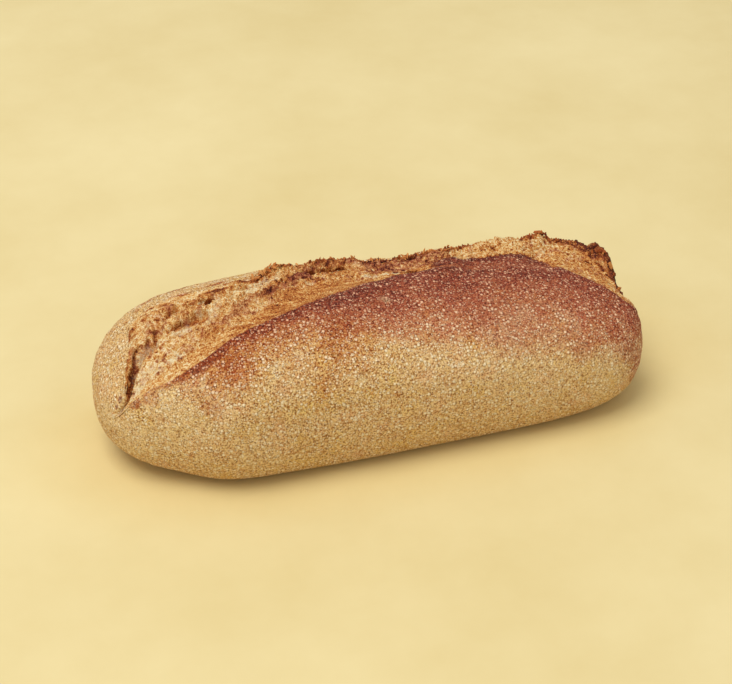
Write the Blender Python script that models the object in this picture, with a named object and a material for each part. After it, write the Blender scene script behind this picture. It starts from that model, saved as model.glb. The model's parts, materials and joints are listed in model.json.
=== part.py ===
"""Country loaf: one hand-shaped loaf, slashed once along its length, that burst open in the oven.

The loaf is one solid. It lies along X on its flat base, its slashed side up, with -Y the near side.
A ring of points is laid round the loaf at each of many stations along X. In every ring the same
columns of points follow the base, the two flanks, the near edge of the slash, the burst bed and the
torn lip, so the edges of the crust run cleanly from end to end. The rings are joined into a skin.
"""

import bpy
import bmesh
import numpy as np
from mathutils import Vector, noise

MM = 0.001

# Driving dimensions of the plain loaf, before its relief
HALF_LENGTH = 145 * MM
HALF_WIDTH = 58 * MM
CREST_HEIGHT = 77.5 * MM
WAIST_HEIGHT = 31.4 * MM
BELLY_DEPTH = 49 * MM
RIGHT_END_DROP = 0.25
LEFT_END_POWER = 2.43
LEFT_CROWN_END_POWER = 2.34
LEFT_BELLY_END_POWER = 2.6
RIGHT_END_POWER = 4.75
CROWN_POWER = 2.7
BELLY_POWER = 2.13
BASE_EDGE_ANGLE = 42
BASE_EDGE_SOFTNESS = 4 * MM

# The mesh: rings along the loaf, and the columns of points in each ring as shares of a stretch
RING_COUNT = 110
BASE_SHARES = (0.0, 0.4, 0.75)
LOWER_FLANK_SHARES = (0.0, 0.2, 0.4, 0.6, 0.8)
CRUST_SHARES = (0.04, 0.09, 0.15, 0.22, 0.31, 0.42, 0.54, 0.67, 0.82, 1.0)
BURST_SHARES = (0.0, 0.045, 0.11, 0.19, 0.28, 0.38, 0.48, 0.58, 0.67, 0.74, 0.80, 0.86, 0.93, 1.0)

# How far the flanks stand from the centre line before the ends round off: (place along the loaf in
# mm, share of the half width). The hand-shaped loaf bows a little towards the near side.
NEAR_REACH = ((-145, 1.2), (-116, 1.13), (-88, 1.18), (-55, 1.10), (0, 1.06), (72, 1.05), (145, 1.08))
FAR_REACH = ((-145, 1.2), (-116, 1.09), (-80, 0.96), (0, 0.84), (72, 0.88), (116, 0.96), (145, 1.08))

# Where the slash runs: (place in mm, angle round the section in degrees), with the far side at 0,
# the top at 90 and the near side at 180
NEAR_EDGE = ((-145, 172), (-138, 166), (-131, 150), (-122, 139), (-109, 132), (-98, 123), (-80, 110),
             (-56, 102), (-22, 92.5), (10, 87.5), (37, 84), (60, 87.5), (96, 90), (112, 91), (120, 97),
             (130, 108), (136, 120), (141, 128), (145, 134))
TORN_LIP = ((-145, 120), (-141, 146), (-138, 158), (-134, 150), (-130, 131), (-127, 115), (-123, 98),
            (-116, 90), (-99, 84), (-72, 81), (-52, 72), (-38, 65), (60, 65), (100, 66), (114, 67),
            (124, 70), (130, 76), (134, 83), (138, 92), (142, 106), (145, 120))
SLASH_START = -139
SLASH_END = 144

# Heights above the plain loaf in mm, by place in mm: the torn lip, with how far it leans over the
# bed as a share of its height, the near edge, and the bed
LIP_RISE = ((-138, 0), (-124, 1.5), (-105, 1.8), (-66, 1.3), (-48, 2.2), (-40, 4.6), (-30, 3.0),
            (-22, 1.6), (-15, 1.8), (0, 1.2), (10, 0.4), (20, 0.6), (27, 3.6), (36, 2.0), (50, 3.2),
            (70, 4.0), (96, 6.0), (104, 7.6), (110, 4.2), (118, 3.0), (124, 3.6), (129, 5.2), (133, 7.0),
            (136, 6.0), (139, 2.8), (142, 1.0), (144, 0))
LIP_LEAN = ((-60, 0), (-40, 0.5), (0, 0.5), (30, 0.3), (60, 0))
EDGE_RISE = ((-138, 0), (-110, 0.3), (-40, 0.8), (0, 1.0), (30, 1.8), (60, 1.0), (134, 0.6))
BED_DROP = ((-138, 0.5), (-120, 1.2), (-60, 1.6), (0, 2.6), (30, 3.2), (50, 0.6), (100, 0.4), (134, 0))

# Right of the middle the near crust stretched over the bed and tore: place in mm, share, height in mm
TEAR_SHARE = ((30, 0.25), (45, 0.45), (60, 0.52), (98, 0.55), (108, 0.30), (114, 0.05))
TEAR_RISE = ((30, 0), (42, 1.2), (75, 2.2), (97, 1.8), (114, 0))

# Rifts in the bed: first and last (place in mm, share across the burst), depth and half width in mm
RIFTS = (
    ((-137, 0.55), (-131, 0.70), 2.5, 1.0),
    ((-131, 0.70), (-127, 0.78), 7.0, 1.4),
    ((-127, 0.78), (-115, 0.77), 9.0, 1.9),
    ((-113, 0.82), (-110, 0.84), 6.0, 2.0),
    ((-100, 0.72), (-86, 0.71), 5.0, 1.8),
    ((-106, 0.95), (-98, 0.95), 2.5, 1.5),
    ((-91, 0.91), (-80, 0.91), 3.0, 1.5),
    ((-24, 0.72), (-2, 0.72), 3.5, 2.2),
    ((40, 0.60), (100, 0.70), 2.5, 2.0),
)

# Clumps of torn crust: place in mm, share across the burst, height and radius in mm
CLUMPS = (
    (-108, 0.45, 1.6, 10),
    (-78, 0.35, 1.4, 9),
    (-30, 0.52, 3.4, 5),
    (-46, 0.62, 1.8, 6),
    (6, 0.55, 1.8, 6),
)


def smoothstep(low, high, value):
    """0 below low, 1 above high, with a smooth rise between them."""
    share = np.clip((value - low) / (high - low), 0, 1)
    return share * share * (3 - 2 * share)


def through(stops, place):
    """A smooth curve through a few (place, value) stops, held level beyond them."""
    places, values = np.array(stops, float).T
    slopes = np.gradient(values, places)
    place = np.clip(place, places[0], places[-1])
    k = np.clip(np.searchsorted(places, place) - 1, 0, len(places) - 2)
    span = places[k + 1] - places[k]
    u = (place - places[k]) / span
    return (values[k] * (1 + 2 * u) * (1 - u) ** 2 + slopes[k] * span * u * (1 - u) ** 2
            + values[k + 1] * u * u * (3 - 2 * u) + slopes[k + 1] * span * u * u * (u - 1))


def signed_power(value, power):
    return np.sign(value) * np.abs(value) ** power


def end_taper(share, left_power=LEFT_END_POWER):
    """How much of the full section is left at a share of the half length, from -1 to 1."""
    power = np.where(share < 0, left_power, RIGHT_END_POWER)
    return np.clip(1 - np.abs(share) ** power, 0, 1) ** (1 / power)


def ring_places():
    """Places along X, evenly spaced on the loaf's outline so that the blunt ends keep their shape."""
    fine = np.sin(np.linspace(-np.pi / 2, np.pi / 2, 20001))
    steps = np.hypot(np.diff(fine) * HALF_LENGTH, np.diff(end_taper(fine)) * HALF_WIDTH)
    run = np.concatenate([[0], np.cumsum(steps)])
    return np.interp(np.linspace(0, run[-1], RING_COUNT + 2), run, fine)[1:-1] * HALF_LENGTH


def columns(places):
    """The angle of every point, and each column's share of the burst, near crust and far crust.

    The shares run from the near edge to the lip, from the near edge down to the near waist, and
    from the lip down to the far waist. Outside its own stretch a share is level at 0 or 1.
    """
    near_edge = through(NEAR_EDGE, places / MM)[:, None]
    lip = through(TORN_LIP, places / MM)[:, None]
    base, lower, crust, burst = map(np.array, (BASE_SHARES, LOWER_FLANK_SHARES, CRUST_SHARES, BURST_SHARES))
    every = np.ones_like(lip)
    angles = np.hstack([
        every * (-90 + (90 - BASE_EDGE_ANGLE) * base),
        every * (-BASE_EDGE_ANGLE * (1 - lower)),
        lip * (1 - crust[::-1]),
        near_edge + (lip - near_edge) * burst[::-1],
        near_edge + (180 - near_edge) * crust,
        every * (180 + BASE_EDGE_ANGLE * (1 - lower[::-1])),
        every * (270 - (90 - BASE_EDGE_ANGLE) * base[::-1][:-1]),
    ])
    under = len(base) + len(lower)
    burst_share = np.concatenate([np.ones(under + len(crust)), burst[::-1], np.zeros(len(crust) + under - 1)])
    near_share = np.concatenate([np.zeros(under + len(crust) + len(burst)), crust, np.ones(under - 1)])
    far_share = np.concatenate([np.ones(under), crust[::-1], np.zeros(len(burst) + len(crust) + under - 1)])
    return np.radians(angles), burst_share, near_share, far_share


def plain_loaf(places, angles):
    """Points of the smooth loaf: a crowned section that tapers into blunt ends and is flat below."""
    share = (places / HALF_LENGTH)[:, None]
    taper = end_taper(share)
    near_reach = through(NEAR_REACH, places / MM)[:, None]
    far_reach = through(FAR_REACH, places / MM)[:, None]
    crown = (CREST_HEIGHT - WAIST_HEIGHT) * (1 - RIGHT_END_DROP * share)
    across = signed_power(np.cos(angles), 2 / np.where(np.sin(angles) > 0, CROWN_POWER, BELLY_POWER))
    above = np.clip(np.sin(angles), 0, 1) ** (2 / CROWN_POWER)
    under = np.clip(-np.sin(angles), 0, 1) ** (2 / BELLY_POWER)
    y = HALF_WIDTH * (taper * across * (near_reach + far_reach) / 2 + (far_reach - near_reach) / 2)
    crown_taper = end_taper(share, LEFT_CROWN_END_POWER)
    belly_taper = end_taper(share, LEFT_BELLY_END_POWER)
    z = WAIST_HEIGHT + crown_taper * crown * above - belly_taper * BELLY_DEPTH * under
    soft = BASE_EDGE_SOFTNESS
    z = np.where(z > soft, z, np.clip(z + soft, 0, None) ** 2 / (4 * soft))
    return np.stack([places[:, None] * np.ones_like(y), y, z], axis=-1)


def outward(points):
    """Unit vectors that point out of the skin, from the directions of its rows and columns."""
    along = np.gradient(points, axis=0)
    around = (np.roll(points, -1, axis=1) - np.roll(points, 1, axis=1)) / 2
    normal = np.cross(around, along)
    return normal / np.maximum(np.linalg.norm(normal, axis=-1, keepdims=True), 1e-12)


def lumps(points, size, seed):
    """Smooth seeded noise between about -1 and 1, with lumps of the given size in metres."""
    shift = Vector((seed * 7.31, seed * 3.17, seed * 5.53))
    flat = points.reshape(-1, 3) / size
    values = [noise.noise(Vector(point) + shift) for point in flat]
    return 1.8 * np.array(values).reshape(points.shape[:-1])


def rift_depth(x, burst_share, band):
    """Depth of the rifts in the burst bed, in mm; band is the bed's width in mm at each ring."""
    depth = np.zeros(np.broadcast(x, burst_share).shape)
    for (x_from, share_from), (x_to, share_to), deep, half_width in RIFTS:
        step = np.clip((x - x_from) / (x_to - x_from), 0, 1)
        aside = (burst_share - (share_from + (share_to - share_from) * step)) * band
        beyond = x - np.clip(x, x_from, x_to)
        depth = np.maximum(depth, deep * (1 - smoothstep(0, 2 * half_width, np.hypot(aside, beyond))))
    return depth


def clump_rise(x, burst_share, band):
    """Height of the torn clumps on the bed, in mm."""
    rise = np.zeros(np.broadcast(x, burst_share).shape)
    for place, share, high, radius in CLUMPS:
        away = np.hypot(x - place, (burst_share - share) * band)
        rise += high * (1 - smoothstep(0, radius, away))
    return rise


def relief(points, burst_share, near_share, far_share):
    """Height of the real skin above the plain loaf, and how far it leans over the bed, in metres."""
    x = points[:, :1, 0] / MM
    on_bed = (burst_share > 0) & (burst_share < 1)
    column_widths = np.linalg.norm(np.diff(points, axis=1), axis=-1)
    band = column_widths[:, on_bed[1:]].sum(axis=1, keepdims=True) / MM
    slashed = smoothstep(SLASH_START, SLASH_START + 8, x) * (1 - smoothstep(SLASH_END - 3, SLASH_END, x))

    torn = lumps(points, 4.5 * MM, 1)
    crags = 1 - 2 * np.abs(lumps(points, 9 * MM, 2))
    fine_crags = lumps(points, 4 * MM, 3)

    behind = 1 - smoothstep(0, 0.20, far_share)
    before = 1 - smoothstep(0, 0.14, near_share)
    to_lip = smoothstep(0.5, 1.0, burst_share)
    trough = smoothstep(0, 0.12, burst_share) * (1 - smoothstep(0.6, 0.92, burst_share))
    room = smoothstep(3, 16, band)
    rough = room * smoothstep(0.03, 0.3, burst_share) * (1 - smoothstep(0, 0.08, far_share))

    lip_rise = through(LIP_RISE, x)
    height = lip_rise * to_lip * behind * (1 + 0.22 * torn)
    height += through(EDGE_RISE, x) * before * (1 - smoothstep(0, 0.1, burst_share))
    height -= through(BED_DROP, x) * trough * room * on_bed
    height += rough * (0.8 * crags + 0.6 * fine_crags + 0.5 * torn * to_lip)

    past_tear = (burst_share - through(TEAR_SHARE, x)) * band
    tear = np.where(past_tear < 0, smoothstep(-9, 0, past_tear), 1 - smoothstep(0, 2.5, past_tear))
    height += through(TEAR_RISE, x) * tear * (1 + 0.4 * torn) * on_bed
    height += clump_rise(x, burst_share, band) * on_bed
    height -= rift_depth(x, burst_share, band) * on_bed

    swell = 0.7 * lumps(points, 48 * MM, 4) + 0.35 * lumps(points, 20 * MM, 5)
    hollow = smoothstep(0.62, 0.82, burst_share) * (1 - smoothstep(0.86, 1.0, burst_share)) * on_bed
    lean = lip_rise * through(LIP_LEAN, x) * (smoothstep(0.86, 1, burst_share) * behind - 0.8 * hollow)
    clear_of_base = smoothstep(1, 14, points[..., 2] / MM)
    return (height * slashed + swell) * clear_of_base * MM, lean * slashed * clear_of_base * MM


def skin(name, points, poles):
    """A closed mesh over the rings, with a fan of triangles round the pole at each end."""
    mesh = bmesh.new()
    rings = [[mesh.verts.new(point) for point in ring] for ring in points]
    around = len(rings[0])
    left, right = [mesh.verts.new(pole) for pole in poles]
    for k in range(around):
        n = (k + 1) % around
        for ring, following in zip(rings, rings[1:]):
            mesh.faces.new((ring[k], following[k], following[n], ring[n]))
        mesh.faces.new((left, rings[0][k], rings[0][n]))
        mesh.faces.new((right, rings[-1][n], rings[-1][k]))
    bmesh.ops.recalc_face_normals(mesh, faces=mesh.faces)
    data = bpy.data.meshes.new(name)
    mesh.to_mesh(data)
    mesh.free()
    data.shade_smooth()
    return data


def crust_material():
    material = bpy.data.materials.new("baked_crust")
    material.use_nodes = True
    shader = material.node_tree.nodes["Principled BSDF"]
    shader.inputs["Base Color"].default_value = (0.50, 0.28, 0.12, 1)
    shader.inputs["Roughness"].default_value = 0.75
    shader.inputs["Metallic"].default_value = 0
    return material


def loaf():
    places = ring_places()
    angles, burst_share, near_share, far_share = columns(places)
    points = plain_loaf(places, angles)
    height, lean = relief(points, burst_share, near_share, far_share)
    points = points + outward(points) * height[..., None]
    points[..., 1] -= lean
    poles = np.array([(-HALF_LENGTH, 0, WAIST_HEIGHT), (HALF_LENGTH, 0, WAIST_HEIGHT)])
    outline = np.vstack([points.reshape(-1, 3), poles])
    to_centre = -(outline.min(axis=0) + outline.max(axis=0)) / 2 * (1, 1, 0)
    data = skin("loaf", points + to_centre, poles + to_centre)
    data.materials.append(crust_material())
    return bpy.data.objects.new("loaf", data)


for old in list(bpy.data.objects):
    bpy.data.objects.remove(old, do_unlink=True)
collection = bpy.data.collections.new("country_loaf")
bpy.context.scene.collection.children.link(collection)
collection.objects.link(loaf())
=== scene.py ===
"""The looks of a country loaf: its baked crust, the craggy burst along its slash, and its torn ear."""

import json
import math

import bpy
import numpy as np
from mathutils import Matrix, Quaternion, Vector, kdtree, noise
from mathutils.bvhtree import BVHTree

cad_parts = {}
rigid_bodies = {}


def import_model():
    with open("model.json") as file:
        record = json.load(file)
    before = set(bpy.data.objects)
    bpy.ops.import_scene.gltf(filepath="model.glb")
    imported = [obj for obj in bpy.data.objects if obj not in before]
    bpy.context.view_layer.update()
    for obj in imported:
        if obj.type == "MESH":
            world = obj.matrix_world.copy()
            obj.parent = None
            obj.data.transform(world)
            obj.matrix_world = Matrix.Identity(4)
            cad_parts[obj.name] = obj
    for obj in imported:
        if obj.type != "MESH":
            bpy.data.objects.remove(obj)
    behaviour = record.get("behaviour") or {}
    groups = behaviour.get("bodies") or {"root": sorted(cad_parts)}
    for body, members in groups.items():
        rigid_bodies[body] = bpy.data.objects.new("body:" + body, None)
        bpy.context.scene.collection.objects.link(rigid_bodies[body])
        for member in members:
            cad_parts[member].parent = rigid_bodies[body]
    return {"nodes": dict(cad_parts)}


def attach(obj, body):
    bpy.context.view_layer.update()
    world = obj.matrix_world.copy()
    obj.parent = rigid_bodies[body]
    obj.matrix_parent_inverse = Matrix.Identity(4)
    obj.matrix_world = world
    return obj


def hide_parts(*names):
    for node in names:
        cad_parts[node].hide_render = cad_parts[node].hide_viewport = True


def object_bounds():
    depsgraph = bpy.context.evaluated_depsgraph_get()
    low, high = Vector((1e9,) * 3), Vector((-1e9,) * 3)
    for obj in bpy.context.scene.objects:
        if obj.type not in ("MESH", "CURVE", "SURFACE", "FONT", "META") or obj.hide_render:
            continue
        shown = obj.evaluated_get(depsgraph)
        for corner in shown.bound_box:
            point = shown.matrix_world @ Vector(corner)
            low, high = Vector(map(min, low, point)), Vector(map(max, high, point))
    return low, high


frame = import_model()
cad_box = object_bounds()
for item in bpy.context.scene.objects:
    item.select_set(False)

# ---------------------------------------------------------------------------------------- crust
# The baked skin of the loaf, in one piece with the crumb beneath. The dough was shaped by hand,
# proved in flour and baked on an oven floor, so its skin is a little lumpy and finely pimpled.
# It is the solid loaf itself, smoothed, given those lumps, and sunk where the burst covers it.

MM = 0.001

# The smooth loaf without its ear, in mm: where its middle lies, its half length and width, its
# crest, the height at which it is widest, and how deep its belly would reach below that
core_shift = np.array([-0.35, 5.18, 0.0])
half_length = 145
half_width = 58
crest_height = 77.5
waist_height = 31.4
belly_depth = 49

# How much lower the crest gets towards the blunt end, how square the loaf is round its crown and
# belly, and how bluntly it ends: to the right, and to the left in width, height and depth
end_drop = 0.25
crown_power = 2.7
belly_power = 2.13
blunt_power = 4.75
width_power = 2.43
crest_power = 2.34
depth_power = 2.6

# How far the near side and the far side reach out: place and share of the half width
near_reach = ((-145, 1.2), (-116, 1.13), (-88, 1.18), (-55, 1.10), (0, 1.06), (72, 1.05), (145, 1.08))
far_reach = ((-145, 1.2), (-116, 1.09), (-80, 0.96), (0, 0.84), (72, 0.88), (116, 0.96), (145, 1.08))

# The two edges of the burst: place along the loaf in mm, angle round it in degrees, with the far
# side at 0, the top at 90 and the near side at 180
near_edge = ((-145, 172), (-138, 166), (-131, 150), (-122, 139), (-109, 132), (-98, 123), (-80, 110),
             (-56, 102), (-22, 92.5), (10, 87.5), (37, 84), (60, 87.5), (96, 90), (112, 91), (120, 97),
             (130, 108), (136, 120), (141, 128), (145, 134))
torn_lip = ((-145, 120), (-141, 146), (-138, 158), (-134, 150), (-130, 131), (-127, 115), (-123, 98),
            (-116, 90), (-99, 84), (-72, 81), (-52, 72), (-38, 65), (60, 65), (100, 66), (114, 67),
            (124, 70), (130, 76), (134, 83), (138, 92), (142, 106), (145, 120))


def smoothstep(low, high, value):
    """0 below low, 1 above high, and smooth between them."""
    share = np.clip((value - low) / (high - low), 0, 1)
    return share * share * (3 - 2 * share)


def through(stops, place):
    """A smooth curve through a few (place, value) stops, held level beyond them."""
    places, values = np.array(stops, float).T
    slopes = np.gradient(values, places)
    place = np.clip(place, places[0], places[-1])
    stop = np.clip(np.searchsorted(places, place) - 1, 0, len(places) - 2)
    span = places[stop + 1] - places[stop]
    part = (place - places[stop]) / span
    left = 1 - part
    return (values[stop] * (1 + 2 * part) * left ** 2 + slopes[stop] * span * part * left ** 2
            + values[stop + 1] * part * part * (3 - 2 * part)
            + slopes[stop + 1] * span * part * part * (part - 1))


def section(place):
    """Centre, half width, height above the waist and depth below it of the smooth loaf, in mm."""
    share = np.clip(place / half_length, -0.9995, 0.9995)

    def taper(left_power):
        power = np.where(share < 0, left_power, blunt_power)
        return (1 - np.abs(share) ** power) ** (1 / power)

    near = through(near_reach, place)
    far = through(far_reach, place)
    centre = half_width * (far - near) / 2
    wide = half_width * taper(width_power) * (near + far) / 2
    high = taper(crest_power) * (crest_height - waist_height) * (1 - end_drop * share)
    return centre, wide, high, taper(depth_power) * belly_depth


def on_smooth_loaf(place, angle):
    """Points of the smooth loaf, in mm, at places along it and angles round it."""
    centre, wide, high, deep = section(place)
    cos = np.cos(np.radians(angle))
    sin = np.sin(np.radians(angle))
    power = np.where(sin > 0, crown_power, belly_power)
    y = centre + wide * np.sign(cos) * np.abs(cos) ** (2 / power)
    z = waist_height + np.where(sin > 0, high, deep) * np.sign(sin) * np.abs(sin) ** (2 / power)
    return np.stack([place * np.ones_like(y), y, np.clip(z, 0, None)], axis=-1) + core_shift


def angle_round(points):
    """The angle round the smooth loaf at which points in mm lie."""
    x, y, z = (points - core_shift).T
    centre, wide, high, deep = section(x)
    across = (y - centre) / wide
    above = (z - waist_height) / np.where(z > waist_height, high, deep)
    half_power = np.where(z > waist_height, crown_power, belly_power) / 2
    rise = np.sign(above) * np.abs(above) ** half_power
    reach = np.sign(across) * np.abs(across) ** half_power
    return np.degrees(np.arctan2(rise, reach)) % 360


def lumps(points, size, seed):
    """Smooth seeded noise between about -1 and 1 at points in mm, with lumps of that size."""
    shift = Vector((seed * 7.31, seed * 3.17, seed * 5.53))
    flat = np.asarray(points, float).reshape(-1, 3) / np.asarray(size, float)
    values = np.array([noise.noise(Vector(point) + shift) for point in flat])
    return 1.8 * values.reshape(np.shape(points)[:-1])


def mesh_points(mesh):
    """A mesh's points, in mm."""
    points = np.zeros(len(mesh.vertices) * 3, np.float32)
    mesh.vertices.foreach_get("co", points)
    return points.reshape(-1, 3).astype(float) / MM


def outward_ways(mesh):
    """The way out of the surface at each of a mesh's points."""
    ways = np.zeros(len(mesh.vertices) * 3, np.float32)
    mesh.vertices.foreach_get("normal", ways)
    return ways.reshape(-1, 3).astype(float)


def place_points(mesh, points):
    """Sets a mesh's points, given in mm, kept inside the box of the solid loaf."""
    low, high = np.array(cad_box)
    mesh.vertices.foreach_set("co", np.clip(points * MM, low, high).astype(np.float32).ravel())
    mesh.update()


def keep_values(mesh, name, values):
    """Stores one number at each vertex for the finish to read."""
    mesh.attributes.new(name, "FLOAT", "POINT").data.foreach_set("value", values.astype(np.float32))


crust_mesh = frame["nodes"]["loaf"].data.copy()
crust_mesh.materials.clear()
crust = bpy.data.objects.new("crust", crust_mesh)
bpy.context.scene.collection.objects.link(crust)
bpy.context.view_layer.objects.active = crust
crust.select_set(True)
bpy.ops.object.mode_set(mode="EDIT")
bpy.ops.mesh.select_all(action="SELECT")
bpy.ops.mesh.remove_doubles(threshold=0.00001)
bpy.ops.mesh.tris_convert_to_quads(face_threshold=math.radians(60), shape_threshold=math.radians(60))
bpy.ops.object.mode_set(mode="OBJECT")
smoothing = crust.modifiers.new("smoothing", "SUBSURF")
smoothing.levels = 2
smoothing.render_levels = 2
bpy.ops.object.modifier_apply(modifier="smoothing")
bpy.ops.object.shade_smooth()

# How far the rim of the ear dips between its crests, as place and depth in mm, and which way. The
# dips are full just behind the top of the loaf, and fade out where the rim ends on the near side.
rim_dips = ((-145, 0), (-34, 0), (-28, 1.2), (-22, 0), (2, 0), (8, 1.5), (14, 0.8), (22, 1.6), (34, 1.4),
            (40, 0), (52, 0), (59, 2.8), (66, 1.8), (74, 0.3), (90, 0), (97, 2.3), (102, 2.3), (105, 0),
            (122, 0), (128, 1.2), (131.5, 2.5), (134, 0), (145, 0))
dip_way = np.array([0, -0.35, -0.94])

crust_points = mesh_points(crust_mesh)
crust_angle = angle_round(crust_points)
crust_place = crust_points[:, 0]
rim_ends_at = 94 + 10 * smoothstep(120, 130, crust_place)
dip = np.clip(through(rim_dips, crust_place), 0, None)
dip *= smoothstep(25, 50, crust_angle) * (1 - smoothstep(78, rim_ends_at, crust_angle))
crust_points += dip[:, None] * dip_way
place_points(crust_mesh, crust_points)
crust_ways = outward_ways(crust_mesh)
smooth_surface = BVHTree.FromPolygons([Vector(point) for point in crust_points],
                                      [face.vertices[:] for face in crust_mesh.polygons])


def skin_height(points, angle):
    """The small lumps of the skin, in mm, with long wrinkles on the far side of the burst."""
    height = 0.16 * lumps(points, 6, 11) + 0.10 * lumps(points, 3.2, 12)
    wrinkled = 1 - smoothstep(62, 92, angle)
    height += wrinkled * (0.45 * np.abs(lumps(points, (24, 4.5, 4.5), 13)) - 0.15)
    return height * smoothstep(0.5, 8, points[:, 2])


# The skin sinks out of sight where the burst lies on it. The bed's share runs from 0 at the burst's
# near edge to 1 at its torn lip. Behind the blunt end the skin stays low a little further round.
bed_depth = 3.5
extra_at_blunt_end = 2.5
depth_behind_blunt_end = 4.0
extra_share_in_middle = 0.8
bed_share = ((crust_angle - through(near_edge, crust_place))
             / (through(torn_lip, crust_place) - through(near_edge, crust_place)))
upper_side = crust_angle < 200
slashed = smoothstep(-138, -132, crust_place) * (1 - smoothstep(141, 144, crust_place)) * upper_side
sink = slashed * smoothstep(-0.02, 0.07, bed_share) * (1 - smoothstep(1.18, 1.30, bed_share))
sink *= bed_depth + extra_at_blunt_end * smoothstep(131, 136, crust_place) * smoothstep(0.15, 0.45, bed_share)
blunt_end = smoothstep(134, 138, crust_place) * (1 - smoothstep(142.5, 145, crust_place)) * upper_side
blunt_end *= smoothstep(0.25, 0.6, bed_share) * (1 - smoothstep(1.9, 3.6, bed_share))
sink = np.maximum(sink, depth_behind_blunt_end * blunt_end)

# Away from the ends it sinks deeper, and mostly towards the core, because the ear stands on a
# ridge so narrow that its two sides would cross if both moved straight in
middle = smoothstep(-128, -118, crust_place) * (1 - smoothstep(118, 128, crust_place))
sink *= 1 + extra_share_in_middle * middle * smoothstep(0.15, 0.4, bed_share)
from_core = (crust_points - core_shift - [0, 0, waist_height]) * [0, 1, 1]
from_core /= np.maximum(np.linalg.norm(from_core, axis=1), 1)[:, None]
crust_points -= sink[:, None] * (crust_ways + middle[:, None] * (from_core - 0.6 * crust_ways))
crust_points += crust_ways * skin_height(crust_points, crust_angle)[:, None]
place_points(crust_mesh, crust_points)

# The dark band along the slash, as place and width in mm, and as place and strength, and how far
# down the near side the skin is red, as place and angle
band_width = ((-145, 0), (-122, 2), (-112, 5), (-98, 10), (-80, 11), (-56, 11), (-34, 14), (-18, 19),
              (-4, 19), (5, 12), (30, 9), (68, 11), (105, 12), (125, 13), (145, 15))
band_strength = ((-145, 0), (-124, 0.2), (-112, 0.65), (-100, 0.95), (-80, 1), (145, 1))
red_reach = ((-110, 124), (-60, 122), (-32, 116), (5, 122), (30, 134), (68, 144), (93, 155), (118, 167),
             (127, 177), (134, 200), (145, 214))

# Small rusty patches, then pale flakes and floury patches: place, angle, radius in mm, strength
rust_patches = ((-136.3, 150.6, 1.2, 1.1), (-134.1, 141.5, 1.5, 1.1), (-128, 148, 5, 0.56),
                (-121, 144, 5, 0.46), (-120, 186, 9, 0.16), (-100, 192, 8, 0.12), (-97, 153, 4, 0.22),
                (-94, 158, 5, 0.24), (-78, 128, 10, 0.12), (-38, 155, 5, 0.12), (-30, 122, 8, 0.10),
                (-20, 124, 16, 0.15), (0, 166, 5, 0.16), (57, 131, 16, 0.13), (70, 145, 6, 0.14),
                (100, 156, 8, 0.18), (128, 172, 9, 0.22), (135, 194, 15, 0.20))
flour_patches = ((-141, 165, 10, 0.9), (-136.6, 159.5, 1.2, 1.3), (-134.8, 153, 1.3, 1.3),
                 (-132.8, 147, 1.5, 1.3), (-131, 178, 18, 0.8), (-130.5, 142.5, 1.5, 1.3),
                 (-117, 176, 13, 0.8), (-110, 162, 24, 0.60), (-70, 190, 16, 0.3), (-66, 160, 3, 0.8),
                 (-60, 134.5, 3, 0.9), (-47, 129, 2.6, 0.8), (-20, 150, 3, 0.5), (5, 97.5, 3, 1.0),
                 (25, 158, 16, 0.25), (63, 152, 24, 0.40), (75, 168, 34, 0.35), (95, 134, 10, 0.2),
                 (98, 188, 4, 0.7), (118, 178, 20, 0.5), (120, 186, 3, 0.7))


def patches(points, spots, ragged):
    """How strongly points lie in round spots on the loaf, with ragged rims."""
    strength = np.zeros(len(points))
    for place, angle, radius, most in spots:
        centre = on_smooth_loaf(np.array([float(place)]), np.array([float(angle)]))[0]
        away = np.linalg.norm(points - centre, axis=1) / radius + np.clip(0.5 * ragged, -0.4, 0.4)
        strength = np.maximum(strength, most * (1 - smoothstep(0.35, 1.25, away)))
    return strength


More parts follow.
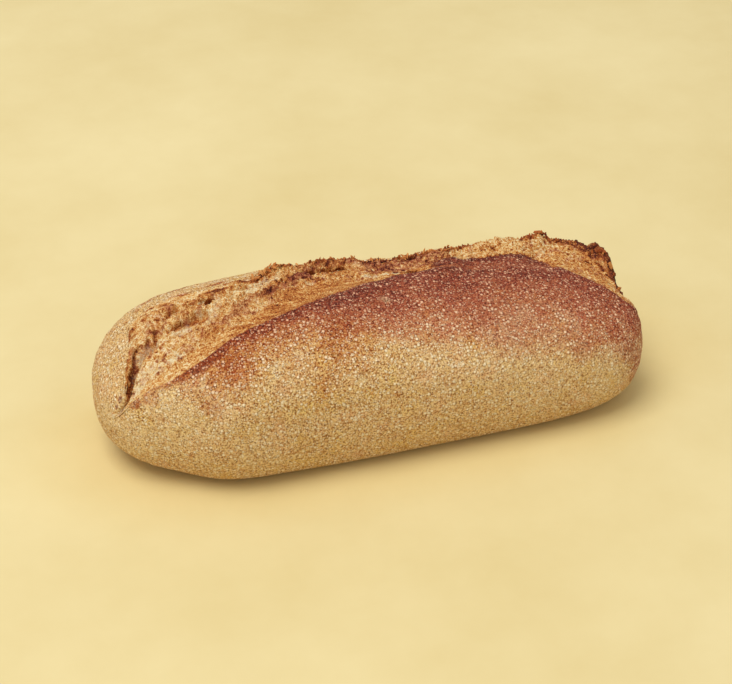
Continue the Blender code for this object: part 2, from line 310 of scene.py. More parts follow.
def bake_skin(mesh, points, angle, more_brown_and_shade=0):
    """Stores how brown, how red and how floury the skin is at each vertex, with any painted shade added to
    the brown.
    """
    place = points[:, 0]
    past_edge = angle - through(near_edge, place)
    mottle = lumps(points, 9, 14) + 0.6 * lumps(points, 3.5, 15)
    broad_mottle = lumps(points, 30, 16)

    # The near side starts at the slash, and at the blunt end it turns the corner with the skin
    near_side = smoothstep(-12 - 45 * smoothstep(128, 140, place), -4, past_edge)
    round_the_end = smoothstep(134, 142, place)
    near_side += round_the_end * (1 - smoothstep(-20, 34, points[:, 1] + 3 * mottle) - near_side)
    near_side *= 1 - smoothstep(200, 240, angle)

    # Dark along the slash, warm for some way below it, and red towards the blunt end
    band_reach = (np.abs(past_edge) + 1.8 * mottle) / np.maximum(through(band_width, place), 0.5)
    band = (1 - smoothstep(0.0, 1.5, band_reach)) * through(band_strength, place) * near_side
    warm = (1 - smoothstep(0, 50, past_edge + 5 * mottle)) * near_side * smoothstep(-125, -95, place)
    red = 1 - smoothstep(-17, 16, angle + 3.5 * mottle + 9 * broad_mottle - through(red_reach, place))
    red *= smoothstep(-110, 10, place) * near_side

    # Tan elsewhere: browner in the wrinkles behind the ear and a little at the blunt end, paler at
    # the pointed end and low down
    browning = 0.20 + 0.08 * broad_mottle + 0.065 * mottle + patches(points, rust_patches, mottle)
    wrinkled = (1 - smoothstep(70, 95, angle)) * smoothstep(20, 50, angle)
    browning += 0.50 * wrinkled * np.clip(lumps(points, (20, 2.6, 2.6), 13), -0.2, 1)
    browning += 0.27 * warm - 0.20 * (1 - smoothstep(-125, -88, place))
    browning += 0.06 * smoothstep(105, 130, place) * (1 - smoothstep(150, 170, angle))
    browning -= 0.10 * smoothstep(140, 185, angle) * (1 - smoothstep(215, 250, angle))
    browning = np.maximum(browning + 0.23 * red, 0.20 + 0.62 * band)
    keep_values(mesh, "browning", np.clip(browning + more_brown_and_shade, 0, 1))
    keep_values(mesh, "redness", np.clip(np.maximum(red, band * smoothstep(-70, -10, place)), 0, 1))
    keep_values(mesh, "flour", patches(points, flour_patches, mottle) * (1 - 0.8 * band))


# The sunk skin is browner, so that it looks like shade where a rent in the burst reaches it
under_burst = slashed * smoothstep(0.12, 0.25, bed_share) * (1 - smoothstep(0.85, 0.95, bed_share))
bake_skin(crust_mesh, crust_points, crust_angle, more_brown_and_shade=0.5 * under_burst)


def paint(red, green, blue):
    """A colour as seen on a screen, 0 to 255, in the linear light that a finish works in."""
    shares = [value / 255 for value in (red, green, blue)]
    return (*[c / 12.92 if c < 0.04 else ((c + 0.055) / 1.055) ** 2.4 for c in shares], 1)


class Wire:
    """One output of a finish's nodes, with arithmetic: each operator adds a Math node."""

    def __init__(self, socket):
        self.socket = socket

    def node(self, kind, settings, sockets, output=0):
        """Adds a node of a kind, sets its settings, then the values or wires of its sockets."""
        made = self.socket.node.id_data.nodes.new(kind)
        for name, value in settings.items():
            if name == "stops":
                while len(made.color_ramp.elements) < len(value):
                    made.color_ramp.elements.new(1)
                for element, (place, colour) in zip(made.color_ramp.elements, value):
                    element.position = place
                    element.color = colour
            else:
                setattr(made, name, value)
        for name, value in sockets.items():
            if isinstance(value, Wire):
                made.id_data.links.new(value.socket, made.inputs[name])
            else:
                made.inputs[name].default_value = value
        return Wire(made.outputs[output])

    def math(self, operation, *values):
        """A Math node on these wires and numbers."""
        return self.node("ShaderNodeMath", {"operation": operation}, dict(enumerate(values)))

    def __add__(self, other):
        return self.math("ADD", self, other)

    def __mul__(self, other):
        return self.math("MULTIPLY", self, other)

    def __sub__(self, other):
        return self.math("SUBTRACT", self, other)

    def __rsub__(self, other):
        return self.math("SUBTRACT", other, self)

    __radd__ = __add__
    __rmul__ = __mul__

    def between(self, low, high):
        """0 below low, 1 above high, and smooth between: high may be the lower of the two."""
        sockets = {"Value": self, "From Min": low, "From Max": high}
        return self.node("ShaderNodeMapRange", {"interpolation_type": "SMOOTHSTEP"}, sockets)

    def blend(self, colour, other, way="MIX"):
        """One colour where this is 0, the other where it is 1."""
        settings = {"data_type": "RGBA", "blend_type": way}
        return self.node("ShaderNodeMix", settings, {0: self, 6: colour, 7: other}, output=2)

    def ramp(self, stops):
        """The colour that a ramp of (position, colour) stops has at this value."""
        return self.node("ShaderNodeValToRGB", {"stops": stops}, {"Fac": self})

    def moved(self, seed):
        """This place moved by a seed, so that the same pattern comes out another way."""
        return self.node("ShaderNodeVectorMath", {"operation": "ADD"}, {0: self, 1: (seed, seed * 0.7, 0)})

    def grain(self, per_mm, detail, roughness, seed=0):
        """Noise from 0 to 1 over this place, with so many grains a millimetre."""
        sockets = {"Vector": self.moved(seed), "Scale": per_mm / MM, "Detail": detail, "Roughness": roughness}
        noise_value = self.node("ShaderNodeTexNoise", {}, sockets)
        return self.node("ShaderNodeMapRange", {}, {"Value": noise_value, "From Min": 0.25, "From Max": 0.75})

    def dots(self, per_mm, output="Distance", seed=0):
        """The distance to scattered dots, as a share of their spacing, or their random colours."""
        sockets = {"Vector": self.moved(seed), "Scale": per_mm / MM}
        return self.node("ShaderNodeTexVoronoi", {}, sockets, output)

    def pimples(self, per_mm, seed=0):
        """Scattered round dots of uneven size and strength, up to 1, and 0 between them."""
        size = self.node("ShaderNodeSeparateColor", {}, {0: self.dots(per_mm, "Color", seed)})
        to_rim = self.dots(per_mm, "Distance", seed) - 0.24 * size
        return to_rim.between(0.25, 0.07) * (0.15 + 1.1 * size * size)


def new_finish(name):
    """A new material, its shader, the place on the loaf as a wire, and what gives a stored value."""
    material = bpy.data.materials.new(name)
    material.use_nodes = True
    shader = material.node_tree.nodes["Principled BSDF"]
    place = Wire(material.node_tree.nodes.new("ShaderNodeTexCoord").outputs["Object"])

    def stored(value):
        return place.node("ShaderNodeAttribute", {"attribute_name": value}, {}, "Fac")

    return material, shader, place, stored


def finish_with(shader, colour, roughness, height, depth):
    """Wires a shader to its colour, its roughness and a bump of that height and depth in mm."""
    links = shader.id_data.links
    links.new(colour.socket, shader.inputs["Base Color"])
    links.new(roughness.socket, shader.inputs["Roughness"])
    sockets = {"Height": height, "Distance": depth * MM, "Strength": 1.0}
    bump = height.node("ShaderNodeBump", {}, sockets, "Normal")
    links.new(bump.socket, shader.inputs["Normal"])
    shader.inputs["Specular IOR Level"].default_value = 0.15


tan_stops = ((0.0, paint(246, 216, 158)), (0.2, paint(226, 186, 126)), (0.4, paint(206, 146, 84)),
             (0.6, paint(176, 94, 44)), (0.8, paint(144, 60, 30)), (1.0, paint(100, 40, 26)))
red_stops = ((0.0, paint(230, 194, 146)), (0.2, paint(212, 162, 112)), (0.4, paint(199, 130, 88)),
             (0.6, paint(173, 94, 63)), (0.8, paint(137, 62, 46)), (1.0, paint(94, 41, 33)))


def skin_look(place, stored):
    """The colour, roughness and bump of baked skin: pale pimples, dark flecks, flour."""
    browning = stored("browning")
    fine = place.grain(1.2, 1, 0.6)
    sand = place.grain(0.45, 3, 0.6, 3)
    brown = browning + 0.33 * (sand - 0.5) + 0.45 * (fine - 0.5)
    colour = stored("redness").blend(brown.ramp(tan_stops), brown.ramp(red_stops))
    colour = fine.between(0.43, 0.95).blend(colour, (0.56, 0.48, 0.36, 1), "MULTIPLY")

    # Here a little yellower, there a little pinker
    tint = place.grain(0.07, 4, 0.65, 17)
    colour = tint.between(0.50, 0.95).blend(colour, (1, 0.97, 0.72, 1), "MULTIPLY")
    colour = tint.between(0.50, 0.05).blend(colour, (1, 0.90, 0.98, 1), "MULTIPLY")

    dusted = stored("flour") * (0.35 + 0.9 * place.grain(0.7, 3, 0.6, 4).between(0.40, 0.66))
    colour = (0.55 * dusted).blend(colour, paint(250, 225, 174))
    fleck = place.grain(1.0, 2, 0.6, 9).between(0.50, 0.85)
    colour = fleck.blend(colour, (0.49, 0.39, 0.29, 1), "MULTIPLY")
    pimple = place.pimples(0.52)
    small_pimple = place.pimples(0.95, 5)
    pimple_colour = browning.between(0.2, 0.75).blend(paint(255, 234, 196), paint(240, 184, 148))
    colour = ((1.4 * pimple + 1.3 * small_pimple) * (1 - 0.50 * browning)).blend(colour, pimple_colour)
    bump = 0.70 * pimple + 0.60 * small_pimple + 0.60 * fine + 0.3 * sand
    return colour, 0.62 + 0.2 * fine, bump


crust_finish, shader, place, stored = new_finish("baked_crust")
finish_with(shader, *skin_look(place, stored), depth=0.6)
crust_mesh.materials.append(crust_finish)
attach(crust, "root")
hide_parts("loaf")

# ---------------------------------------------------------------------------------------- burst
# The band where the slash tore open as the loaf rose: a smooth stretched border, then crags and
# fibres of torn crumb, and along the far rim the ear of toasted crust. It is a fine sheet laid on
# the loaf between the two edges. Its borders are skin like the crust's and sink under the crust.

rows_along = 640
rows_across = 146
first_place = -140.0
last_place = 142.5

# The sheet runs across from a share under the crust at the near edge to one beyond the torn lip
under_near_crust = -0.13
over_the_lip = 1.45

bpy.ops.object.select_all(action="DESELECT")
bpy.ops.mesh.primitive_grid_add(x_subdivisions=rows_along, y_subdivisions=rows_across, size=2)
burst = bpy.context.active_object
burst.name = "burst"
burst_mesh = burst.data
burst_mesh.name = "burst"
grid = mesh_points(burst_mesh) * MM
burst_place = first_place + (last_place - first_place) * (grid[:, 0] + 1) / 2
share = under_near_crust + (over_the_lip - under_near_crust) * (grid[:, 1] + 1) / 2
from_angle = through(near_edge, burst_place)
to_angle = through(torn_lip, burst_place)
smooth_points = on_smooth_loaf(burst_place, from_angle + (to_angle - from_angle) * share)
place_points(burst_mesh, smooth_points)
smooth_ways = outward_ways(burst_mesh)

# Laid on the crust as it was before it sank, by looking straight in from outside each point
outside_mm = 22
hits = [smooth_surface.ray_cast(Vector(point + way * outside_mm), Vector(-way), 2 * outside_mm)[0]
        for point, way in zip(smooth_points, smooth_ways)]
bare_points = np.array([point if hit is None else hit for point, hit in zip(smooth_points, hits)])
place_points(burst_mesh, bare_points)
burst_ways = outward_ways(burst_mesh)
burst_angle = angle_round(bare_points)
band_mm = np.linalg.norm(on_smooth_loaf(burst_place, from_angle) - on_smooth_loaf(burst_place, to_angle),
                         axis=1)
wobble = lumps(bare_points, 2.4, 20)


def beside(line, half_width):
    """How near the burst's points are to a line of (place, share) corners: 1 on it, 0 beyond."""
    away = np.full(len(burst_place), 1e3)
    for (place, at_share), (next_place, next_share) in zip(line, line[1:]):
        along = next_place - place
        across = (next_share - at_share) * band_mm
        x = burst_place - place
        y = (share - at_share) * band_mm
        part = np.clip((x * along + y * across) / (along ** 2 + across ** 2), 0, 1)
        away = np.minimum(away, np.hypot(x - part * along, y - part * across))
    return 1 - smoothstep(0.25, 1.0, (away + 0.5 * wobble) / half_width)


# Where there is room for deep relief, where the sheet shows, and where its borders are tucked in
room = smoothstep(3, 14, band_mm) * smoothstep(-139, -128, burst_place)
room *= 1 - smoothstep(134, 141, burst_place)
inside = smoothstep(-0.02, 0.02, share) * (1 - smoothstep(1.02, 1.10, share))
tucked = np.maximum(1 - smoothstep(under_near_crust, under_near_crust + 0.05, share),
                    smoothstep(over_the_lip - 0.06, over_the_lip, share))
tucked = np.maximum(tucked, 1 - smoothstep(first_place, first_place + 1.4, burst_place))
tucked = np.maximum(tucked, smoothstep(last_place - 1.5, last_place, burst_place))

# Where the stretched border ends, and how coarsely the crumb beyond it is torn. Along the light
# rim, right of the middle, the crumb is paler and softer.
stretched = ((-139, 0.10), (-124, 0.12), (-110, 0.20), (-60, 0.30), (-20, 0.26), (5, 0.16), (20, 0.30),
             (40, 0.42), (52, 0.42), (62, 0.41), (73, 0.38), (80, 0.42), (88, 0.44), (96, 0.38),
             (102, 0.20), (112, 0.05), (142, 0.0))
coarseness = ((-139, 0.3), (-122, 0.45), (-104, 0.85), (-60, 1.0), (-20, 0.9), (10, 0.55), (45, 0.6),
              (98, 0.6), (108, 0.35), (136, 0.4))
torn_from = through(stretched, burst_place) + 0.02 * wobble
torn = smoothstep(-0.03, 0.08, share - torn_from) * inside
light_rim = smoothstep(62, 72, burst_place) * (1 - smoothstep(92, 98, burst_place))
coarse = torn * room * through(coarseness, burst_place) * (1 - 0.5 * light_rim)

# Crags and knobs all over the torn crumb, with fibres that slant across it left of the middle
crag = 1 - 2 * np.abs(lumps(bare_points, 5.5, 21))
small_crag = 1 - 2 * np.abs(lumps(bare_points, 2.4, 22))
knobs = lumps(bare_points, 1.3, 23)
slanted = bare_points @ np.array([[0.80, 0.60, 0], [-0.60, 0.80, 0], [0, 0, 1]])
fibres = lumps(slanted, (1.0, 6.0, 3.0), 24)
fibrous = smoothstep(-84, -66, burst_place) * (1 - smoothstep(-42, -34, burst_place))
fibrous *= smoothstep(0.5, 0.6, share)
height = coarse * (0.45 * crag + 0.60 * small_crag + 0.55 * knobs + (0.25 + 0.5 * fibrous) * fibres)

# Fine streaks along the stretched border, and soft wrinkles beyond the lip towards the left end
streaks = lumps(bare_points, (9.0, 1.1, 1.1), 25)
height += inside * (1 - torn) * room * (0.22 * streaks + 0.10 * knobs)
beyond = smoothstep(1.0, 1.08, share) * (1 - smoothstep(1.25, 1.40, share))
beyond *= smoothstep(-136, -126, burst_place) * (1 - smoothstep(-62, -50, burst_place))
height += beyond * (0.45 * lumps(bare_points, (16, 3.0, 3.0), 30) + 0.25 * small_crag + 0.15 * knobs)

# Rents in the crumb: their corners as place and share across the band, half width and depth in
# mm, and how much darker they are coloured, as painted shade in a groove and as toasting on a
# ridge. A negative depth is a ridge.
clump_row = ((-78, 0.52), (-67, 0.60), (-58, 0.58), (-51, 0.56), (-43.6, 0.52), (-34.8, 0.50))
purple_clump = ((-34, 0.57), (-27, 0.55))
overhang = ((-30, 0.88), (-20, 0.87), (-10, 0.86), (-1, 0.88))
rents = (
    (((-137, 0.25), (-136.4, 0.30)), 0.9, 1.2, 0.5),
    (((-135, 0.45), (-134.2, 0.52)), 0.9, 1.2, 0.5),
    (((-132.6, 0.66), (-131.8, 0.70)), 0.9, 1.2, 0.5),
    (((-131, 1.0), (-128.5, 0.95), (-126, 0.90), (-123.5, 0.88)), 1.4, 1.2, 0.36),
    (((-133, 1.12), (-129.5, 1.07), (-125.5, 1.0), (-121, 0.96)), 2.0, -0.7, 0.20),
    (((-123.5, 0.88), (-120, 0.86)), 1.1, 1.0, 0.22),
    (((-117, 0.84), (-115.5, 0.86)), 1.2, 2.4, 0.25),
    (((-114, 0.77), (-111.2, 0.88)), 1.2, 2.6, 0.30),
    (((-104, 0.80), (-98.3, 0.79), (-94.1, 0.78), (-89, 0.78), (-85, 0.75)), 1.3, 3.2, 0.26),
    (((-105, 0.86), (-98.3, 0.86), (-94.1, 0.84), (-89, 0.84), (-84, 0.81)), 2.2, -1.5, 0.08),
    (((-105.4, 0.92), (-102, 0.95), (-98.2, 0.97)), 1.1, 2.2, 0.22),
    (((-106, 0.99), (-102, 1.02), (-97, 1.04)), 2.0, -1.2, 0.08),
    (((-92, 0.91), (-86.8, 0.93), (-82.9, 0.94), (-79.2, 0.94), (-75.3, 0.90)), 1.1, 2.4, 0.34),
    (((-93, 0.97), (-86.8, 1.0), (-82.9, 1.01), (-79, 1.01), (-74, 0.97)), 2.0, -1.3, 0.22),
    (clump_row, 2.8, -0.5, 0.12),
    (((-56, 0.99), (-50, 0.98), (-40, 0.96)), 1.8, -1.4, 0.16),
    (((-52, 0.60), (-49, 0.58)), 2.2, -0.7, 0.10),
    (((-42, 0.32), (-34, 0.36), (-26, 0.44)), 3.0, -0.3, 0.12),
    (((-40, 0.60), (-37, 0.60)), 2.2, -0.6, 0.2),
    (purple_clump, 4.6, -1.5, 0.25),
    (((-23.5, 0.36), (-21.5, 0.32)), 2.4, -0.9, 0.30),
    (((-28, 0.76), (-20.8, 0.75), (-12.6, 0.74), (-4, 0.77)), 1.3, 2.6, 0.40),
    (overhang, 4.0, -1.0, 0.17),
    (((7, 0.86), (9.5, 0.85)), 1.1, 1.2, 0.4),
    (((12, 0.83), (13, 0.83)), 1.0, 1.2, 0.4),
    (((17, 0.90), (19, 0.90)), 1.0, 1.2, 0.4),
    (((20, 0.38), (24, 0.37), (28.7, 0.36), (32, 0.30)), 1.0, 2.6, 0.8),
    (((26, 0.84), (34, 0.84)), 0.9, 1.0, 0.3),
    (((68.6, 0.18), (70.4, 0.18)), 1.0, 1.6, 0.7),
    (((127, 0.57), (128.6, 0.57)), 0.9, 0.8, 0.5),
    (((131, 0.69), (132, 0.66)), 1.0, 0.8, 0.5),
    (((133, 0.62), (134.4, 0.58)), 0.9, 0.8, 0.4),
    (((133.3, 0.84), (135, 0.82)), 2.8, -1.2, 0.03),
    (((134.5, 0.45), (135, 0.40)), 0.9, 0.8, 0.4),
)
toast = 0.36 + 0.05 * lumps(bare_points, 20, 28)
# In a groove the added darkness is painted shade; on a ridge it is toast.
for line, rent_width, deep, more_toast_and_shade in rents:
    near = beside(line, rent_width)
    height -= deep * near
    toast += more_toast_and_shade * near

# Fresh pale crumb, softer in its relief: corners as for the rents, half width in mm, strength
pale_stretches = (
    (((-139, 0.10), (-135, 0.45), (-131, 0.72), (-127.5, 0.80), (-124, 0.74)), 1.8, 0.9),
    (((-123, 0.30), (-117, 0.35)), 8, 0.55),
    (((-123, 0.80), (-118, 0.79), (-112, 0.74)), 2.6, 0.8),
    (((-108, 0.33), (-103, 0.35)), 3, 0.8),
    (((-103, 0.74), (-98, 0.73), (-95, 0.74)), 2.4, 0.7),
    (((-85, 0.68), (-81, 0.72), (-77, 0.84)), 3.2, 0.5),
    (((-60, 0.77), (-50, 0.75), (-44, 0.74)), 4, 0.7),
    (((-58, 0.87), (-50, 0.85)), 3, 0.8),
    (((-29, 0.38), (-26, 0.34)), 2.6, 0.6),
    (((-22, 0.68), (-8, 0.68)), 2.0, 0.8),
    (((2, 0.28), (13.8, 0.31), (22, 0.35)), 1.7, 0.9),
    (((55, 0.66), (63, 0.66)), 1.8, 0.8),
)
pale_crumb = sum(strength * beside(line, pale_width) for line, pale_width, strength in pale_stretches)
pale_crumb = np.clip(pale_crumb, 0, 1)
height *= 1 - 0.6 * pale_crumb

# The band ends in a drop at the blunt end, and lies a little hollow before the ear's rim
height -= 4.0 * smoothstep(134.5, 137.5, burst_place) * smoothstep(0.25, 0.5, share)
hollow_stretch = smoothstep(-66, -56, burst_place) * (1 - smoothstep(50, 64, burst_place))
height -= 1.9 * hollow_stretch * smoothstep(0.55, 0.9, share)


def rim_share_at(place):
    """The share across the band at which the ear's rim runs. It comes nearer at the blunt end."""
    return 1.0 - 0.17 * smoothstep(110, 130, place) - 0.45 * smoothstep(132, 137, place)


rim_share = rim_share_at(burst_place)
rim_from = (rim_share - 0.10 - 0.07 * smoothstep(104, 112, burst_place)
            + 0.09 * smoothstep(130, 133, burst_place))
rim = smoothstep(rim_from, rim_share - 0.02, share) * (1 - smoothstep(1.03, 1.12, share))
rim *= smoothstep(-60, -55, burst_place) * smoothstep(3, 10, band_mm)
ragged = np.abs(lumps(bare_points, 2.2, 26)) + 0.8 * np.abs(lumps(bare_points, 1.0, 27))
height += rim * (1.3 * ragged - 0.75)

# Small round pits scattered over the torn crumb, fewer to the right: radius and depth in mm
pit_count = 420
pit_random = np.random.default_rng(31)
pit_tree = kdtree.KDTree(pit_count)
pit_sizes = []
while len(pit_sizes) < pit_count:
    place_mm = pit_random.uniform(-132, 134)
    at_share = pit_random.uniform(0.2, 0.98)
    if at_share > through(stretched, place_mm) + 0.05 and (place_mm < 20 or pit_random.random() < 0.4):
        angle = through(near_edge, place_mm) * (1 - at_share) + through(torn_lip, place_mm) * at_share
        pit_tree.insert(Vector(on_smooth_loaf(np.array([place_mm]), np.array([angle]))[0]), len(pit_sizes))
        pit_sizes.append((pit_random.uniform(0.35, 1.0), pit_random.uniform(0.4, 1.1)))
pit_tree.balance()
pits = np.zeros(len(bare_points))
for number, point in enumerate(smooth_points):
    _, which, away = pit_tree.find(Vector(point))
    radius, deep = pit_sizes[which]
    if away < 1.4 * radius:
        pits[number] = deep * (1 - smoothstep(0.5, 1.4, away / radius))
height -= pits * room * inside

# The sheet stands a hair proud of the bare crust, with its borders tucked under the skin
lift = 0.12 + (1 - inside) * skin_height(bare_points, burst_angle) + height - 0.7 * tucked
burst_points = bare_points + burst_ways * lift[:, None]
place_points(burst_mesh, burst_points)

# Toasted where the relief is high and along the rim, painted shade in the pits, pale where the crumb is fresh
toast += torn * (1 - 0.6 * light_rim) * (-0.07 + 0.05 * crag + 0.10 * small_crag + 0.13 * knobs)
toast += 0.08 * torn * lumps(bare_points, 11, 29)
toast += (1 - torn) * 0.18 * streaks * (1 - pale_crumb)
toast += (1 - torn) * 0.13 * smoothstep(-95, -60, burst_place)
toast -= 0.20 * pale_crumb
toast += 0.14 * torn * smoothstep(104, 116, burst_place)
toast += light_rim * (0.25 * smoothstep(0.55, 0.9, small_crag) - 0.08)
toast += 0.06 * smoothstep(-70, -50, burst_place) * (1 - smoothstep(-4, 4, burst_place))
# The pits are darkened as painted shade.
toast += rim * (0.14 + 0.22 * ragged) * (1 - light_rim) + 0.40 * np.clip(pits, 0, 1) * inside
toast += 0.05 * smoothstep(132, 134, burst_place) * smoothstep(rim_share - 0.02, rim_share + 0.05, share)
toast += beyond * (0.02 + 0.45 * np.clip(lumps(bare_points, (16, 2.6, 2.6), 30), -0.2, 1))

# Right of the middle the stretched border is skin, browner towards the torn crumb, with a dark
# line where the two meet. The crumb before it is pinkish.
pinkish = smoothstep(-5, 10, burst_place) * (1 - smoothstep(48, 58, burst_place))
pinkish *= smoothstep(0.35, 0.5, share)
under_bridge = smoothstep(34, 46, burst_place) * (1 - smoothstep(99, 105, burst_place))
under_bridge *= 1 - smoothstep(0.0, 0.05, share - torn_from + 0.05 * small_crag)
toast += 0.22 * pinkish + under_bridge * (0.08 + 0.36 * smoothstep(0.12, 0.24, share))
seam = smoothstep(38, 50, burst_place) * (1 - smoothstep(94, 102, burst_place))
toast += 0.35 * seam * np.clip(1 - np.abs(share - torn_from) / 0.05, 0, 1)
keep_values(burst_mesh, "toast", np.clip(toast, 0, 1))

# Redder on the clumps, under the overhang, in patches of the torn crumb and along the right rim
rosy = 0.5 * beside(clump_row, 4) + 0.9 * beside(purple_clump, 4.5) + pinkish * (0.6 + 0.4 * small_crag)
rosy += under_bridge + 0.25 * beside(overhang, 4.0)
rosy += 0.7 * torn * smoothstep(0.0, 0.8, lumps(bare_points, 3, 33)) * (1 - fibrous)
rosy += 0.55 * rim * smoothstep(104, 112, burst_place)
rosy *= 1 - light_rim * smoothstep(0, 0.05, share - torn_from)
keep_values(burst_mesh, "rosy", np.clip(rosy, 0, 1))
keep_values(burst_mesh, "fresh", pale_crumb)

# Where the sheet is skin: on its covered borders, and where the crust bridges the slash
bridge = smoothstep(36, 50, burst_place) * (1 - smoothstep(100, 106, burst_place))
bridge = smoothstep(0.42, 0.58, bridge + 0.25 * wobble + 0.2 * small_crag * (bridge < 0.95))
bridge *= 1 - smoothstep(-0.01, 0.015, share - torn_from + 0.03 * small_crag)
bridge_from = 0.28 * (1 - smoothstep(48, 70, burst_place)) - 0.08
bridge *= smoothstep(0.0, 0.06, share + 0.04 * wobble - bridge_from)
crumb = smoothstep(-0.004, 0.006, share + 0.004 * knobs)
crumb *= 1 - smoothstep(1.03, 1.10, share + 0.03 * wobble - 0.22 * beyond)
keep_values(burst_mesh, "skin", np.clip(np.maximum(1 - crumb, bridge * (0.85 + 0.4 * knobs)), 0, 1))
skin_angle = np.where(bridge > 0.5, from_angle + 4, burst_angle)
bridge_rim = bridge * smoothstep(-0.12, -0.04, share - torn_from)
bake_skin(burst_mesh, bare_points, skin_angle, more_brown_and_shade=0.2 * bridge_rim)

bpy.ops.object.shade_smooth()
burst_finish, shader, place, stored = new_finish("torn_crumb")
fine = place.grain(1.3, 2, 0.6, 12)
toast_and_shade_level = stored("toast") + 0.80 * (fine - 0.5) + 0.30 * (place.grain(0.7, 2, 0.6, 13) - 0.5)
golden_stops = ((0.0, paint(252, 236, 196)), (0.2, paint(242, 206, 142)), (0.4, paint(220, 160, 88)),
                (0.6, paint(190, 112, 52)), (0.8, paint(146, 72, 34)), (1.0, paint(84, 40, 22)))
rosy_stops = ((0.0, paint(242, 212, 172)), (0.2, paint(222, 172, 128)), (0.4, paint(196, 128, 86)),
              (0.6, paint(162, 86, 56)), (0.8, paint(118, 54, 40)), (1.0, paint(76, 36, 32)))
colour = stored("rosy").blend(toast_and_shade_level.ramp(golden_stops), toast_and_shade_level.ramp(rosy_stops))
fresh = stored("fresh") * place.grain(1.0, 2, 0.6, 15).between(0.75, 0.30)
colour = (0.7 * fresh).blend(colour, paint(222, 206, 176))
crumb_bump = 0.6 * fine + 0.4 * place.grain(2.8, 1, 0.6, 14)
skin_colour, skin_dullness, skin_bump = skin_look(place, stored)
skin = stored("skin")
colour = skin.blend(colour, skin_colour)
bump = skin * skin_bump + (1 - skin) * crumb_bump
roughness = skin * skin_dullness + (1 - skin) * (0.72 + 0.15 * fine)
finish_with(shader, colour, roughness, bump, depth=0.6)
burst_mesh.materials.append(burst_finish)
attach(burst, "root")

# ---------------------------------------------------------------------------------------- ear flakes
# The rim of the ear broke into toasted flakes and crumbs as it tore. Each is a small flattened
# chip with a broken outline, shaped from one block and laid along the rim, from 1 to 7 mm long.

# Where chips are thick along the rim, then single larger flakes: place, share, size in mm, lift
flake_zones = ((-56, 0.1), (-52, 1.0), (-34, 0.9), (-28, 0.5), (-8, 0.9), (8, 0.7), (24, 0.5), (28, 1.0),
               (40, 0.8), (50, 0.9), (58, 0.6), (64, 0.05), (92, 0.05), (98, 1.0), (106, 1.0),
               (112, 0.9), (122, 1.0), (130, 1.6), (135, 1.0), (137, 0))
big_flakes = ((-55.5, 0.99, 1.3, 1.2), (-54.5, 0.99, 1.1, 1.9), (-52.5, 0.98, 1.2, 1.1),
              (-50.5, 0.98, 1.2, 0.6), (-48.5, 0.98, 1.3, 0.9), (-46.5, 0.97, 1.1, 1.1),
              (-44.5, 0.97, 1.1, 1.2), (-42.5, 0.97, 1.2, 0.8), (-40.5, 0.97, 1.1, 0.8),
              (-22, 0.98, 1.2, 0.7), (-17, 0.99, 1.1, 0.8), (-10, 0.98, 1.1, 0.6),
              (-3, 0.97, 1.1, 0.7), (1, 0.96, 1.1, 0.9), (137.6, 0.50, 1.5, 0.3),
              (28.5, 0.98, 1.3, 0.8), (31, 0.96, 1.0, 0.3), (99, 0.92, 1.3, 0.0),
              (101, 0.92, 1.4, 0.0), (103, 0.93, 1.4, 0.1), (104.5, 0.95, 1.3, 0.2),
              (106, 0.97, 1.1, 0.5), (107, 0.98, 0.9, 1.4), (107.5, 0.98, 0.7, 2.4),
              (108.5, 0.96, 1.2, 0.0), (116, 0.95, 1.3, 0.4), (121, 0.92, 1.4, 0.3),
              (131, 0.86, 1.3, 0.2), (133, 0.84, 1.8, 0.5), (134.5, 0.78, 1.7, 0.4),
              (135, 0.68, 1.5, 0.3), (136.5, 0.50, 1.6, 0.8), (137.5, 0.42, 1.4, 0.8))
flake_count = 620
flake_random = np.random.default_rng(41)
bpy.ops.object.select_all(action="DESELECT")
bpy.ops.mesh.primitive_ico_sphere_add(subdivisions=1, radius=1)
chip = bpy.context.active_object
chip_points = mesh_points(chip.data) * MM
chip_faces = [face.vertices[:] for face in chip.data.polygons]
bpy.data.objects.remove(chip)

# Which point of the burst lies nearest to a place and share, with a share of 1 taken as 40 mm
share_mm = 40
rim_rows = np.flatnonzero((share > 0.35) & (share < 1.06))
rim_tree = kdtree.KDTree(len(rim_rows))
for number in rim_rows:
    rim_tree.insert(Vector((burst_place[number], share[number] * share_mm, 0)), int(number))
rim_tree.balance()

flake_points = []
flake_faces = []
flake_toast = []


def lay_flake(place, at_share, size, lift):
    """Adds one chip to the rim, turned at random, its middle lifted by a share of its size."""
    _, number, _ = rim_tree.find(Vector((place, at_share * share_mm, 0)))
    broken = 1 + 0.5 * lumps(chip_points, 0.8, 50 + len(flake_toast))
    body = chip_points * broken[:, None] * np.array([flake_random.uniform(0.9, 2.0), 0.9, 0.5]) * size
    unsteady = 0.6 if size > 1 else 1.2
    lean = Vector(burst_ways[number] + flake_random.normal(0, unsteady, 3)).to_track_quat("X", "Z")
    turn = Quaternion((1, 0, 0), flake_random.uniform(0, math.pi))
    body = body @ np.array((lean @ turn).to_matrix()).T
    start = len(flake_toast) * len(chip_points)
    flake_faces.extend([tuple(start + corner for corner in face) for face in chip_faces])
    flake_points.append(body + burst_points[number] + burst_ways[number] * lift * size)
    pale_stretch = 1 - smoothstep(-42, -36, place)
    flake_toast.append(flake_random.uniform(0.15, 0.75) * (1 - 0.4 * pale_stretch)
                       + 0.2 * smoothstep(95, 100, place) * (1 - smoothstep(109, 112, place)))


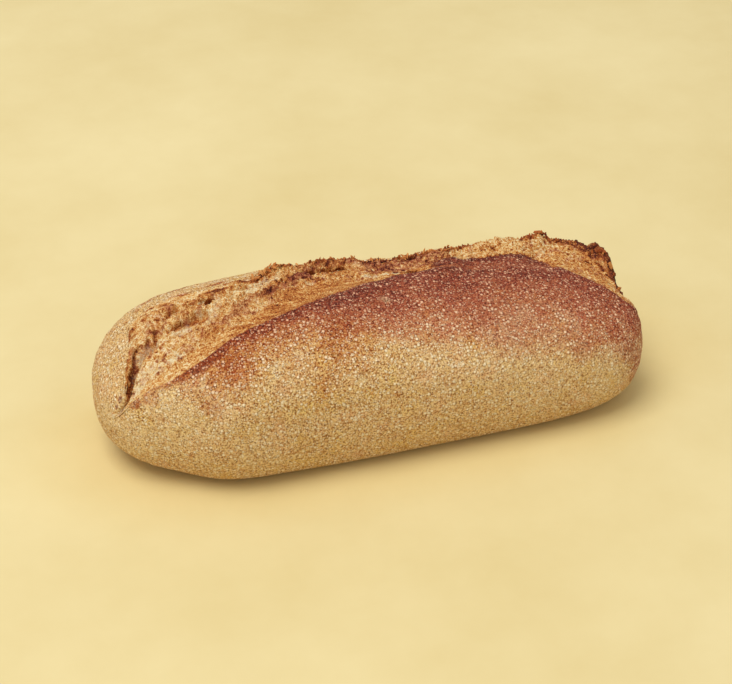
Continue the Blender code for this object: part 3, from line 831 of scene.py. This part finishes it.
for flake in big_flakes:
    lay_flake(*flake)
while len(flake_toast) < flake_count:
    at = flake_random.uniform(-56, 139)
    if flake_random.random() * 1.6 < through(flake_zones, at):
        at_share = rim_share_at(at) + flake_random.normal(-0.02, 0.03)
        size = 0.4 + 0.6 * flake_random.random() ** 2.2
        lay_flake(at, at_share, size, lift=flake_random.uniform(-0.3, 0.5))
flakes_mesh = bpy.data.meshes.new("ear_flakes")
flakes_mesh.from_pydata([Vector(point * MM) for point in np.vstack(flake_points)], [], flake_faces)
flakes_mesh.update()
ear_flakes = bpy.data.objects.new("ear_flakes", flakes_mesh)
bpy.context.scene.collection.objects.link(ear_flakes)
place_points(flakes_mesh, np.vstack(flake_points))
keep_values(flakes_mesh, "toast", np.repeat(np.array(flake_toast), len(chip_points)))

flake_finish, shader, place, stored = new_finish("toasted_flakes")
fine = place.grain(1.6, 3, 0.6, 21)
toast_and_shade_level = stored("toast") + 0.4 * (fine - 0.5)
flake_stops = ((0.0, paint(238, 182, 112)), (0.35, paint(214, 138, 74)), (0.65, paint(172, 92, 46)),
               (0.85, paint(116, 52, 30)), (1.0, paint(72, 32, 22)))
finish_with(shader, toast_and_shade_level.ramp(flake_stops), 0.65 + 0.2 * fine, fine, depth=0.3)
flakes_mesh.materials.append(flake_finish)
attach(ear_flakes, "root")

# ---------------------------------------------------------------------------------------- studio
# A plain pale warm floor that the loaf stands on, one broad soft light high above its left end and
# a little towards the camera, and an even sky that fills the shadows.

floor_size = 6
bpy.ops.object.select_all(action="DESELECT")
bpy.ops.mesh.primitive_plane_add(size=floor_size)
floor = bpy.context.active_object
floor.name = "floor"
floor_finish = bpy.data.materials.new("pale_floor")
floor_finish.use_nodes = True
floor_shader = floor_finish.node_tree.nodes["Principled BSDF"]
floor_place = Wire(floor_finish.node_tree.nodes.new("ShaderNodeTexCoord").outputs["Object"])
floor_tone = 0.7 * floor_place.grain(0.006, 2, 0.5, 2) + 0.3 * floor_place.grain(0.03, 3, 0.6, 5)
floor_colour = floor_tone.blend(paint(222, 203, 146), paint(236, 221, 170))

# Painted light off the crust: the floor is painted darker and warmer about the loaf, fully in an
# oval about as large as the loaf, with these half lengths in m, and less and less up to 1.7 times as far
painted_warm_shade_reach = (0.14, 0.055)
across_painted_warm_shade = (1 / painted_warm_shade_reach[0], 1 / painted_warm_shade_reach[1], 0)
spread = floor_place.node("ShaderNodeVectorMath", {"operation": "MULTIPLY"}, {0: floor_place, 1: across_painted_warm_shade})
from_loaf = spread.node("ShaderNodeVectorMath", {"operation": "LENGTH"}, {0: spread}, "Value")
floor_colour = from_loaf.between(1.7, 0.95).blend(floor_colour, (0.99, 0.955, 0.88, 1), "MULTIPLY")
floor_finish.node_tree.links.new(floor_colour.socket, floor_shader.inputs["Base Color"])
floor_shader.inputs["Roughness"].default_value = 0.6
floor_shader.inputs["Specular IOR Level"].default_value = 0.15
floor.data.materials.append(floor_finish)

sky = bpy.data.worlds.new("sky")
bpy.context.scene.world = sky
sky.use_nodes = True
sky_light = sky.node_tree.nodes["Background"]
sky_light.inputs["Color"].default_value = (1, 0.97, 0.91, 1)
sky_light.inputs["Strength"].default_value = 0.54

key_place = Vector((-0.85, -0.34, 2.8))
bpy.ops.object.light_add(type="AREA", location=key_place)
key = bpy.context.active_object
key.data.size = 1.6
key.data.energy = 57
key.data.color = (1.0, 0.97, 0.92)
key.rotation_euler = key_place.to_track_quat("Z", "Y").to_euler()

# ---------------------------------------------------------------------------------------- camera
# The photo looks down on the loaf from its near side, a little towards its left end. The lens
# makes the loaf as large in the picture as it is in the photo, and its shift puts it in place.

picture_width = 732
pixels_per_mm = 1.885
pixels_left = 1
pixels_down = 5
camera_turn = math.radians(-16.55)
camera_rise = math.radians(36)
camera_away = 0.9
aim_height = 0.035
aim = Vector((*core_shift[:2] * MM, aim_height))
back = Vector((math.sin(camera_turn) * math.cos(camera_rise), -math.cos(camera_turn) * math.cos(camera_rise),
               math.sin(camera_rise)))
bpy.ops.object.camera_add(location=aim + back * camera_away)
camera = bpy.context.active_object
camera.rotation_euler = back.to_track_quat("Z", "Y").to_euler()
camera.data.sensor_width = 36
camera.data.lens = pixels_per_mm * camera_away / MM * camera.data.sensor_width / picture_width
camera.data.shift_x = pixels_left / picture_width
camera.data.shift_y = pixels_down / picture_width
bpy.context.scene.camera = camera
bpy.context.scene.view_settings.view_transform = "Standard"
